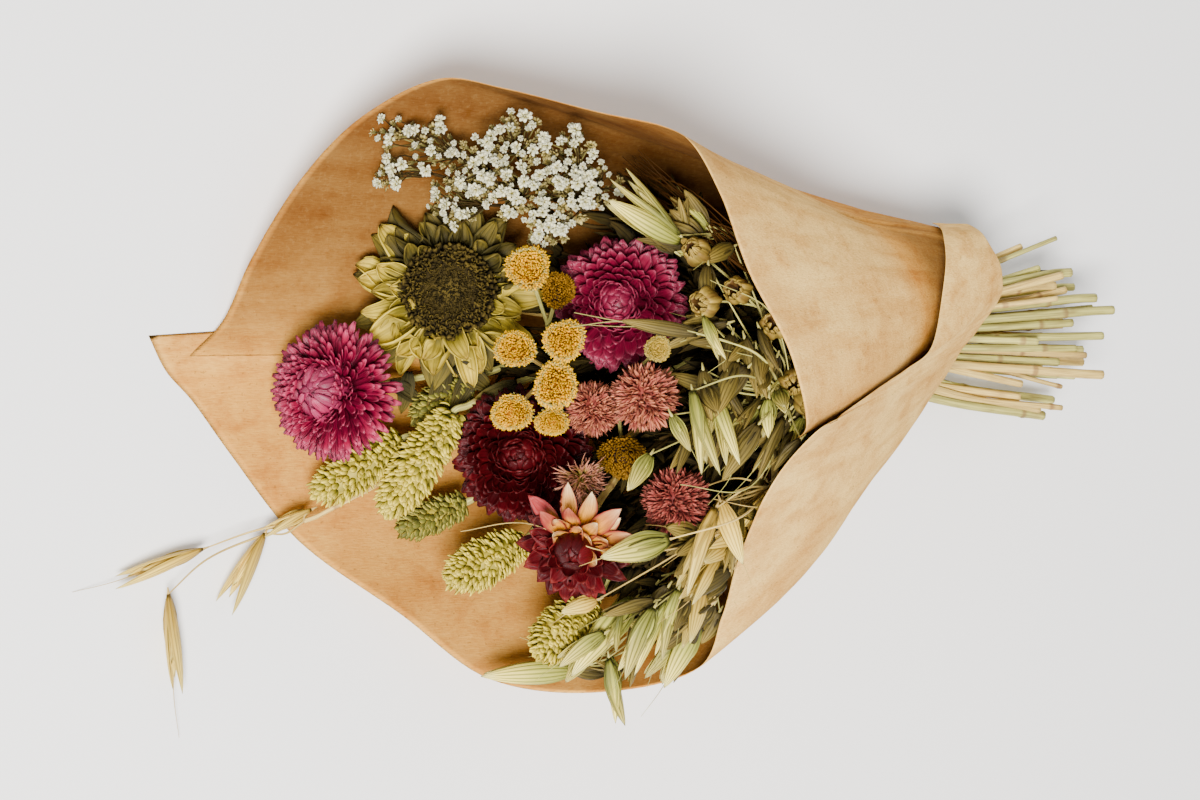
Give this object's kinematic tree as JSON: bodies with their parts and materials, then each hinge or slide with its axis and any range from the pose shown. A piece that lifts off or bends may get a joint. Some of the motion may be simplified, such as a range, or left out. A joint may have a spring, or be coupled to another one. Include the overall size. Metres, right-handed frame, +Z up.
{
  "type": "mixed dried flower bouquet in a paper wrap",
  "caption": "Mixed dried flower bouquet lying in a cone of brown kraft paper, with a sunflower, strawflowers, grasses and oats.",
  "frame": {"origin": "point of the flat strip under the outer paper sheet on which the bouquet lies", "axes": "+X towards the cut stem ends, +Z up, away from the surface that the bouquet lies on"},
  "size_m": [0.377, 0.2204, 0.1243],
  "materials": {
    "kraft_paper": "matt brown kraft paper with fine fibres and cloudy mottling",
    "twine": "twisted natural jute",
    "sunflower_petal": "dry petals, olive yellow, greener at the root",
    "sunflower_disc": "packed dry florets, dark brown with ochre tips",
    "magenta_bract": "glossy papery bracts, magenta with a pink middle",
    "dark_red_bract": "glossy papery bracts, dark wine red",
    "open_red_bract": "dark red bracts, the outer ones cream and peach",
    "salmon_amaranth": "dry pointed bracts, salmon pink",
    "dusky_amaranth": "dry pointed bracts, dusky pink",
    "pale_amaranth": "dry pointed bracts, pale green and pink",
    "golden_button": "packed golden florets in a pale woolly cup",
    "brown_button": "packed florets dried to brownish gold",
    "pale_button": "packed pale yellow florets",
    "canary_grass": "closely scaled seed heads, pale green with darker veins",
    "babys_breath": "tiny cream white florets on olive brown twigs",
    "straw_stem": "dry ribbed straw with brown knots",
    "green_stem": "dry ribbed stem, pale green",
    "oat": "dry oat husks, golden straw with fine ribs",
    "oat_green": "dry oat husks, straw with green ribs",
    "pod": "dry cup-shaped seed pods, dull ochre"
  },
  "bodies": {
    "root": {"wrap_sheet_outer": "kraft_paper", "wrap_sheet_inner": "kraft_paper", "twine_tie": "twine", "sunflower_petals": "sunflower_petal", "sunflower_disc": "sunflower_disc", "sunflower_stem": "straw_stem", "strawflower_left_head": "magenta_bract", "strawflower_left_stem": "green_stem", "strawflower_back_head": "magenta_bract", "strawflower_back_stem": "straw_stem", "strawflower_middle_head": "dark_red_bract", "strawflower_middle_stem": "green_stem", "strawflower_open_head": "open_red_bract", "strawflower_open_stem": "straw_stem", "amaranth_upper_head": "salmon_amaranth", "amaranth_upper_stem": "green_stem", "amaranth_rear_head": "dusky_amaranth", "amaranth_rear_stem": "straw_stem", "amaranth_lower_head": "dusky_amaranth", "amaranth_lower_stem": "green_stem", "amaranth_half_open_head": "pale_amaranth", "amaranth_half_open_stem": "straw_stem", "button_1_head": "golden_button", "button_2_head": "golden_button", "button_3_head": "golden_button", "button_4_head": "golden_button", "button_5_head": "golden_button", "button_6_head": "golden_button", "button_7_head": "pale_button", "button_8_head": "brown_button", "button_9_head": "brown_button", "buttons_upper_stem": "green_stem", "buttons_middle_stem": "straw_stem", "buttons_lower_stem": "green_stem", "canary_grass_left": "canary_grass", "canary_grass_centre": "canary_grass", "canary_grass_lower": "canary_grass", "canary_grass_front": "canary_grass", "canary_grass_behind": "canary_grass", "canary_grass_under": "canary_grass", "babys_breath": "babys_breath", "oats_top": "oat_green", "oats_right": "oat_green", "oats_lower_right": "oat", "oats_bottom": "oat_green", "oats_left": "oat", "pods_upper": "pod", "pods_front": "pod"}
  },
  "joints": []
}
